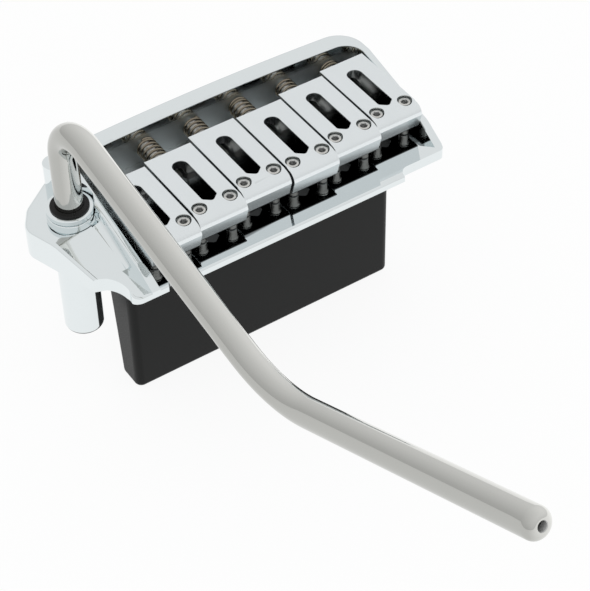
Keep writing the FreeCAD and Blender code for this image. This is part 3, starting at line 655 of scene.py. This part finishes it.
def circle(radius, z, count):
    """Level ring of points about the axis."""
    step = 2 * math.pi / count
    return [Vector((radius * math.cos(step * k), radius * math.sin(step * k), z)) for k in range(count)]


def hex_ring(flats, z, count):
    """Level ring that runs round a hexagon."""
    points = []
    for k in range(count):
        turn = 2 * math.pi * k / count
        part = (turn + math.pi / 6) % (math.pi / 3) - math.pi / 6
        reach = flats / 2 / math.cos(part)
        points.append(Vector((reach * math.cos(turn), reach * math.sin(turn), z)))
    return points


def thread_rings(skin, z0, z1, count):
    """Rings of a screw thread between two heights, faded out at both ends."""
    s = sizes()
    steps = max(2, math.ceil((z1 - z0) / s.pitch * RINGS_PER_TURN))
    for step in range(steps + 1):
        z = z0 + (z1 - z0) * step / steps
        fade = min(1, (z - z0) / s.pitch, (z1 - z) / s.pitch)
        ring = []
        for k in range(count):
            turn = k / count
            wave = abs(((z / s.pitch - turn) % 1) * 2 - 1)
            groove = min(1, max(0, FLANK_SLOPE * wave - CREST_FLAT))
            reach = s.thread_d / 2 - s.thread_depth * (1 - fade) - s.thread_depth * fade * groove
            a = 2 * math.pi * turn
            ring.append(Vector((reach * math.cos(a), reach * math.sin(a), z)))
        skin.ring(ring)


# Operators, whose own values are counts, shares and lengths in metres; crisp is an edge's angle in degrees

class BRIDGE_OT_plate(Operator):
    """Finishes the base plate"""

    bl_idname = "bridge.plate"
    bl_label = "Base plate"

    def execute(self, context):
        dress("base_plate", "plate_chrome")
        return {"FINISHED"}


class BRIDGE_OT_block(Operator):
    """Finishes the tremolo block and its screws"""

    bl_idname = "bridge.block"
    bl_label = "Tremolo block"

    def execute(self, context):
        dress("tremolo_block", "block_coat")
        dress("block_screws", "screw_steel")
        return {"FINISHED"}


class BRIDGE_OT_saddles(Operator):
    """Finishes the six saddles"""

    bl_idname = "bridge.saddles"
    bl_label = "Saddles"

    def execute(self, context):
        for i in STRINGS:
            dress("saddle_%d" % i, "saddle_chrome")
        return {"FINISHED"}


class BRIDGE_OT_socket(Operator):
    """Finishes the arm socket, its ring nut, bush and stop screw"""

    bl_idname = "bridge.socket"
    bl_label = "Arm socket"

    def execute(self, context):
        dress("arm_socket", "plate_chrome")
        dress("arm_collar_nut", "plate_chrome")
        dress("arm_bush", "bush_plastic")
        dress("arm_stop_screw", "screw_steel")
        return {"FINISHED"}


class BRIDGE_OT_height_screws(Operator):
    """Builds the twelve height screws with threads, hex sockets and feet"""

    bl_idname = "bridge.height_screws"
    bl_label = "Height screws"

    facets = 36
    foot_steps = 4
    neck_chamfer = 0.00025
    thread_end = 0.0003
    rim_drop = 0.00006
    rim_round = 0.00008
    mouth_spread = 1.22
    mouth_depth = 0.00012
    drill_r = 0.0001
    drill_depth = 0.0002
    crisp = 40

    def execute(self, context):
        for i in STRINGS:
            for side in SIDES:
                self.build("height_screw_%d_%s" % (i, side))
        return {"FINISHED"}

    def build(self, node):
        """One screw from its foot to its hex socket."""
        s = sizes()
        low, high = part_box(node)
        x, y = (low.x + high.x) / 2, (low.y + high.y) / 2
        floor, top = low.z, high.z
        neck_top = floor + s.leg_height
        leg_r, rim = s.leg_d / 2, s.thread_d / 2 - s.thread_depth
        socket_floor = top - s.hex_depth
        skin = Skin()

        def round_ring(radius, z, tone=0):
            skin.ring(circle(radius, z, self.facets), tone)

        skin.start(circle(leg_r - s.foot_height, floor, self.facets), 1)
        for part in range(1, self.foot_steps + 1):
            turn = part / self.foot_steps * math.pi / 2
            lift = s.foot_height * (1 - math.cos(turn))
            round_ring(leg_r - s.foot_height * (1 - math.sin(turn)), floor + lift, 1)
        round_ring(leg_r, floor + 2 * s.foot_height)
        round_ring(leg_r, neck_top - self.neck_chamfer)
        round_ring(rim, neck_top)
        thread_rings(skin, neck_top, top - self.thread_end, self.facets)
        round_ring(rim, top - self.rim_drop)
        round_ring(rim - self.rim_round, top)
        round_ring(s.hex_flats / 2 * self.mouth_spread, top)
        skin.ring(hex_ring(s.hex_flats, top - self.mouth_depth, self.facets), 1)
        skin.ring(hex_ring(s.hex_flats, socket_floor, self.facets), 1)
        round_ring(self.drill_r, socket_floor - self.drill_depth, 1)
        skin.close(1)
        piece = mesh_piece(node + "_threaded", skin, "screw_steel", "screw_foot")
        piece.data.transform(Matrix.Translation((x, y, 0)))
        sharpen(piece, self.crisp)
        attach(piece, node)
        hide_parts(node)


class BRIDGE_OT_intonation_screws(Operator):
    """Builds the six intonation screws with threads and cross-slotted heads"""

    bl_idname = "bridge.intonation_screws"
    bl_label = "Intonation screws"

    facets = 40
    point_r = 0.0009
    point_length = 0.0003
    thread_end = 0.0012
    shank_length = 0.0010
    shank_play = 0.00002
    head_h = 0.0019
    head_steps = 6
    head_round = 0.0007
    flat_share = 0.66
    cross_edge = 0.00002
    cross_depth = 0.0011
    cross_point = 0.3
    cross_reach = 0.00155
    cross_half = 0.00034
    crisp = 40

    def execute(self, context):
        for i in STRINGS:
            self.build("intonation_screw_%d" % i)
        return {"FINISHED"}

    def build(self, node):
        """One screw from its point to its cross-slotted head."""
        s = sizes()
        low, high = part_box(node)
        x, z = (low.x + high.x) / 2, (low.z + high.z) / 2
        total = high.y - low.y
        seat = total - self.head_h
        head_r = (high.x - low.x) / 2
        shank_r = s.thread_d / 2 - self.shank_play
        deep = total - self.cross_depth
        skin = Skin()

        def round_ring(radius, place):
            skin.ring(circle(radius, place, self.facets))

        skin.start(circle(self.point_r, 0, self.facets))
        round_ring(s.thread_d / 2 - s.thread_depth, self.point_length)
        thread_rings(skin, self.point_length, seat - self.thread_end, self.facets)
        round_ring(shank_r, seat - self.shank_length)
        round_ring(shank_r, seat)
        round_ring(head_r, seat)
        for part in range(self.head_steps + 1):
            turn = part / self.head_steps * math.pi / 2
            r = head_r - self.head_round * (1 - math.cos(turn))
            round_ring(r, total - self.head_round + self.head_round * math.sin(turn))
        round_ring(head_r * self.flat_share, total)
        skin.ring(self.cross(total - self.cross_edge))
        skin.ring(self.cross(deep), 1)
        tip = Vector((0, 0, deep * (1 - self.cross_point)))
        skin.ring([p * self.cross_point + tip for p in self.cross(deep)], 1)
        skin.close(1)
        piece = mesh_piece(node + "_threaded", skin, "screw_steel", "screw_foot")
        turn = Matrix.Rotation(math.radians(-90), 4, "X")
        piece.data.transform(Matrix.Translation((x, low.y, z)) @ turn)
        sharpen(piece, self.crisp)
        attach(piece, node)
        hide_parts(node)

    def cross(self, z):
        """Ring that runs round a cross-shaped recess."""
        points = []
        for k in range(self.facets):
            turn = 2 * math.pi * k / self.facets
            part = (turn + math.pi / 4) % (math.pi / 2) - math.pi / 4
            if abs(math.tan(part)) * self.cross_reach <= self.cross_half:
                reach = self.cross_reach / math.cos(part)
            else:
                reach = self.cross_half / abs(math.sin(part))
            points.append(Vector((reach * math.cos(turn), reach * math.sin(turn), z)))
        return points


class BRIDGE_OT_springs(Operator):
    """Winds the six intonation springs"""

    bl_idname = "bridge.springs"
    bl_label = "Intonation springs"

    closed_pitch = 1.04
    least_turns = 2.0
    rings_per_turn = 40
    facets = 12
    crisp = 60

    def execute(self, context):
        for i in STRINGS:
            self.wind(i)
        return {"FINISHED"}

    def wind(self, i):
        """One spring with a closed turn at each end."""
        s = sizes()
        node = "intonation_spring_%d" % i
        low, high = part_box(node)
        x, z = (low.x + high.x) / 2, (low.z + high.z) / 2
        coil_r, wire_r = (s.coil_d - s.wire) / 2, s.wire / 2
        room = high.y - low.y - s.wire - 2 * s.spring_play
        closed = s.wire * self.closed_pitch
        free = max(self.least_turns, (room - 2 * closed) / s.coil_pitch)
        turns = free + 2
        steps = int(turns * self.rings_per_turn)
        axis = Vector((0, 1, 0))

        def advance(t):
            """How far along the axis the wire has come after t turns."""
            if t < 1:
                return closed * t
            if t > 1 + free:
                return room - closed * (turns - t)
            return closed + (room - 2 * closed) * (t - 1) / free

        def section(t):
            """Ring of points round the wire after t turns."""
            a = 2 * math.pi * t
            out = Vector((math.cos(a), 0, math.sin(a)))
            centre = Vector((x, low.y + s.spring_play + wire_r + advance(t), z)) + out * coil_r
            ring = []
            for j in range(self.facets):
                b = 2 * math.pi * j / self.facets
                ring.append(centre + (out * math.cos(b) + axis * math.sin(b)) * wire_r)
            return ring

        skin = Skin()
        skin.start(section(0))
        for k in range(1, steps + 1):
            skin.ring(section(turns * k / steps))
        skin.close()
        piece = mesh_piece(node + "_wire", skin, "spring_wire")
        sharpen(piece, self.crisp)
        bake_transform(piece)
        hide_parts(node)


class BRIDGE_OT_arm(Operator):
    """Bends the tremolo arm and rounds its tip"""

    bl_idname = "bridge.arm"
    bl_label = "Tremolo arm"

    foot_chamfer = 0.0006
    tip_steps = 12
    hole_chamfer = 0.00012
    run_steps = 8
    bend_steps = 32
    end_steps = 16
    crisp = 50

    def execute(self, context):
        s = sizes()
        low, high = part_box("arm_socket")
        x, y = (low.x + high.x) / 2, (low.y + high.y) / 2
        ahead = Vector((math.sin(s.arm_heading), -math.cos(s.arm_heading), 0))
        up = Vector((0, 0, 1))
        foot = Vector((x, y, s.arm_foot_z))
        knee = Vector((x, y, s.arm_knee_z))
        kink = knee + (ahead + up * s.arm_fall) * s.arm_first
        tip = kink + (ahead + up * s.arm_rise) * s.arm_second
        line = self.bend([foot, knee, kink, tip], (s.arm_knee_r, s.arm_kink_r))
        side = ahead.cross(up)
        r = s.arm_d / 2
        skin = Skin()
        place, along = line[0]
        skin.start(self.ring(place, along, side, r - self.foot_chamfer))
        skin.ring(self.ring(place + along * self.foot_chamfer, along, side, r))
        for place, along in line[1:-1]:
            skin.ring(self.ring(place, along, side, r))
        end, along = line[-1]
        bend = s.arm_tip_round
        for part in range(self.tip_steps + 1):
            turn = part / self.tip_steps * math.pi / 2
            place = end - along * bend * (1 - math.sin(turn))
            skin.ring(self.ring(place, along, side, r - bend * (1 - math.cos(turn))))
        hole = s.arm_hole_d / 2
        skin.ring(self.ring(end, along, side, hole + self.hole_chamfer))
        skin.ring(self.ring(end - along * self.hole_chamfer, along, side, hole), 1)
        skin.ring(self.ring(end - along * s.arm_hole_depth, along, side, hole), 1)
        skin.close(1)
        piece = mesh_piece("tremolo_arm_rod", skin, "arm_nickel", "screw_foot")
        sharpen(piece, self.crisp)
        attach(piece, "arm")
        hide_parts("tremolo_arm")
        return {"FINISHED"}

    def bend(self, corners, radii):
        """Places and headings along straight runs joined by round bends."""
        line = [(corners[0], (corners[1] - corners[0]).normalized())]
        here = corners[0]
        for corner, after, radius in zip(corners[1:], corners[2:], radii):
            into = (corner - here).normalized()
            onward = (after - corner).normalized()
            turn = into.angle(onward)
            reach = radius * math.tan(turn / 2)
            inward = (onward - into).normalized()
            centre = corner + inward * radius / math.cos(turn / 2)
            start = corner - into * reach
            line += [(here.lerp(start, k / self.run_steps), into) for k in range(1, self.run_steps)]
            axis = into.cross(onward).normalized()
            for k in range(self.bend_steps + 1):
                spin = Matrix.Rotation(turn * k / self.bend_steps, 3, axis)
                line.append((centre + spin @ (start - centre), spin @ into))
            here = corner + onward * reach
        onward = (corners[-1] - here).normalized()
        last = range(1, self.end_steps + 1)
        line += [(here.lerp(corners[-1], k / self.end_steps), onward) for k in last]
        return line

    def ring(self, place, along, side, radius):
        """Ring of points square to the arm's line."""
        count = sizes().arm_sides
        top = side.cross(along)
        points = []
        for k in range(count):
            a = 2 * math.pi * k / count
            points.append(place + (side * math.cos(a) + top * math.sin(a)) * radius)
        return points


class BRIDGE_OT_stage(Operator):
    """Sets the floor, backdrop, lamps and camera"""

    bl_idname = "bridge.stage"
    bl_label = "Studio"

    paper_rough = 0.9
    speckle_scale = 900
    speckle_tone = 0.985
    near_clip = 0.01

    def execute(self, context):
        s = context.scene.bridge_studio
        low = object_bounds()[0]
        self.floor(low[2], s)
        self.world(context, s)
        self.lamp("key_lamp", s.key_place, s.key_size, s.key)
        self.lamp("fill_lamp", s.fill_place, s.fill_size, s.fill)
        self.camera(context, s)
        context.scene.view_settings.view_transform = "Standard"
        return {"FINISHED"}

    def floor(self, z, s):
        """Pale paper under the bridge, which keeps its shadow."""
        half = s.floor_half
        mesh = bpy.data.meshes.new("floor")
        corners = [(-half, -half, z), (half, -half, z), (half, half, z), (-half, half, z)]
        mesh.from_pydata(corners, [], [(0, 1, 2, 3)])
        material, tree, shader = plain_material("floor_paper", roughness=self.paper_rough)
        speckle = noise(tree, object_point(tree), scale=self.speckle_scale, detail=3)
        tone = add(tree, "ShaderNodeMix", data_type="RGBA")
        join(tree, speckle, tone.inputs["Factor"])
        tone.inputs["A"].default_value = (*s.paper, 1)
        tone.inputs["B"].default_value = (*(self.speckle_tone * c for c in s.paper), 1)
        join(tree, tone.outputs["Result"], shader.inputs["Base Color"])
        glow = add(tree, "ShaderNodeEmission")
        glow.inputs["Color"].default_value = (1, 1, 1, 1)
        rays = add(tree, "ShaderNodeLightPath")
        seen = maths(tree, "MAXIMUM", rays.outputs["Is Camera Ray"], rays.outputs["Is Glossy Ray"])
        seen = maths(tree, "MAXIMUM", seen, rays.outputs["Is Transmission Ray"])
        mix = add(tree, "ShaderNodeMixShader")
        join(tree, maths(tree, "MULTIPLY", seen, s.floor_glow), mix.inputs["Fac"])
        join(tree, shader.outputs["BSDF"], mix.inputs[1])
        join(tree, glow.outputs["Emission"], mix.inputs[2])
        join(tree, mix.outputs["Shader"], tree.nodes["Material Output"].inputs["Surface"])
        mesh.materials.append(material)
        floor = bpy.data.objects.new("floor", mesh)
        bpy.context.scene.collection.objects.link(floor)
        floor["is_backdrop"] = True

    def world(self, context, s):
        """A pale tent that the metal mirrors, white behind the bridge."""
        world = bpy.data.worlds.new("studio_tent")
        world.use_nodes = True
        tree = world.node_tree
        place = add(tree, "ShaderNodeTexCoord")
        split = add(tree, "ShaderNodeSeparateXYZ")
        join(tree, place.outputs["Generated"], split.inputs["Vector"])
        ramp = add(tree, "ShaderNodeValToRGB")
        join(tree, split.outputs["Z"], ramp.inputs["Fac"])
        rim, top = ramp.color_ramp.elements
        rim.color = (TENT_RIM, TENT_RIM, TENT_RIM, 1)
        top.color = (TENT_TOP, TENT_TOP, TENT_TOP, 1)
        for position, tone in TENT_STEPS:
            stop = ramp.color_ramp.elements.new(position)
            stop.color = (tone, tone, tone, 1)
        rays = add(tree, "ShaderNodeLightPath")
        back = tree.nodes["Background"]
        join(tree, ramp.outputs["Color"], back.inputs["Color"])
        back.inputs["Strength"].default_value = s.tent
        white = add(tree, "ShaderNodeBackground")
        white.inputs["Color"].default_value = (1, 1, 1, 1)
        mix = add(tree, "ShaderNodeMixShader")
        join(tree, rays.outputs["Is Camera Ray"], mix.inputs["Fac"])
        join(tree, back.outputs["Background"], mix.inputs[1])
        join(tree, white.outputs["Background"], mix.inputs[2])
        join(tree, mix.outputs["Shader"], tree.nodes["World Output"].inputs["Surface"])
        context.scene.world = world

    def lamp(self, name, place, size, watts):
        """A soft square lamp that looks at the bridge."""
        data = bpy.data.lights.new(name, "AREA")
        data.size = size
        data.energy = watts
        lamp = bpy.data.objects.new(name, data)
        lamp.location = place
        lamp.rotation_euler = (-Vector(place)).to_track_quat("-Z", "Y").to_euler()
        lamp.visible_glossy = False
        bpy.context.scene.collection.objects.link(lamp)

    def camera(self, context, s):
        """Camera at the photo's viewing angle."""
        data = bpy.data.cameras.new("photo_camera")
        data.sensor_fit = "HORIZONTAL"
        data.lens = data.sensor_width * s.focal
        data.clip_start = self.near_clip
        back = Vector((
            math.sin(s.azimuth) * math.cos(s.elevation),
            -math.cos(s.azimuth) * math.cos(s.elevation),
            math.sin(s.elevation),
        ))
        level = Vector((math.cos(s.azimuth), math.sin(s.azimuth), 0))
        over = back.cross(level)
        right = level * math.cos(s.roll) + over * math.sin(s.roll)
        up = over * math.cos(s.roll) - level * math.sin(s.roll)
        place = Vector((0, s.centre_y, s.centre_z)) + back * s.distance + right * s.slide_x + up * s.slide_y
        turn = Matrix((right, up, back)).transposed().to_4x4()
        camera = bpy.data.objects.new("photo_camera", data)
        camera.matrix_world = Matrix.Translation(place) @ turn
        context.scene.collection.objects.link(camera)
        context.scene.camera = camera


class BRIDGE_PT_parts(Panel):
    """Lists the bridge's pieces in the sidebar"""

    bl_idname = "BRIDGE_PT_parts"
    bl_label = "Tremolo bridge"
    bl_space_type = "VIEW_3D"
    bl_region_type = "UI"
    bl_category = "Bridge"

    def draw(self, context):
        for operator in OPERATORS:
            self.layout.operator(operator.bl_idname)
        for prop in GROUP_PROPS:
            group = getattr(context.scene, prop)
            box = self.layout.box()
            for key in group.__annotations__:
                box.prop(group, key)


GROUP_PROPS = {
    "bridge_finishes": BridgeFinishes,
    "bridge_sizes": BridgeSizes,
    "bridge_studio": BridgeStudio,
}
OPERATORS = (
    BRIDGE_OT_plate,
    BRIDGE_OT_block,
    BRIDGE_OT_saddles,
    BRIDGE_OT_socket,
    BRIDGE_OT_height_screws,
    BRIDGE_OT_intonation_screws,
    BRIDGE_OT_springs,
    BRIDGE_OT_arm,
    BRIDGE_OT_stage,
)


def register():
    """Adds the classes and the scene's settings."""
    for cls in (*GROUP_PROPS.values(), *OPERATORS, BRIDGE_PT_parts):
        bpy.utils.register_class(cls)
    for key, cls in GROUP_PROPS.items():
        setattr(bpy.types.Scene, key, PointerProperty(type=cls))


def unregister():
    """Takes the settings and the classes out again."""
    for key in GROUP_PROPS:
        delattr(bpy.types.Scene, key)
    for cls in reversed((*GROUP_PROPS.values(), *OPERATORS, BRIDGE_PT_parts)):
        bpy.utils.unregister_class(cls)


def main():
    """Builds the bridge piece by piece."""
    register()
    for operator in OPERATORS:
        module, name = operator.bl_idname.split(".")
        getattr(getattr(bpy.ops, module), name)()


if __name__ == "__main__":
    main()
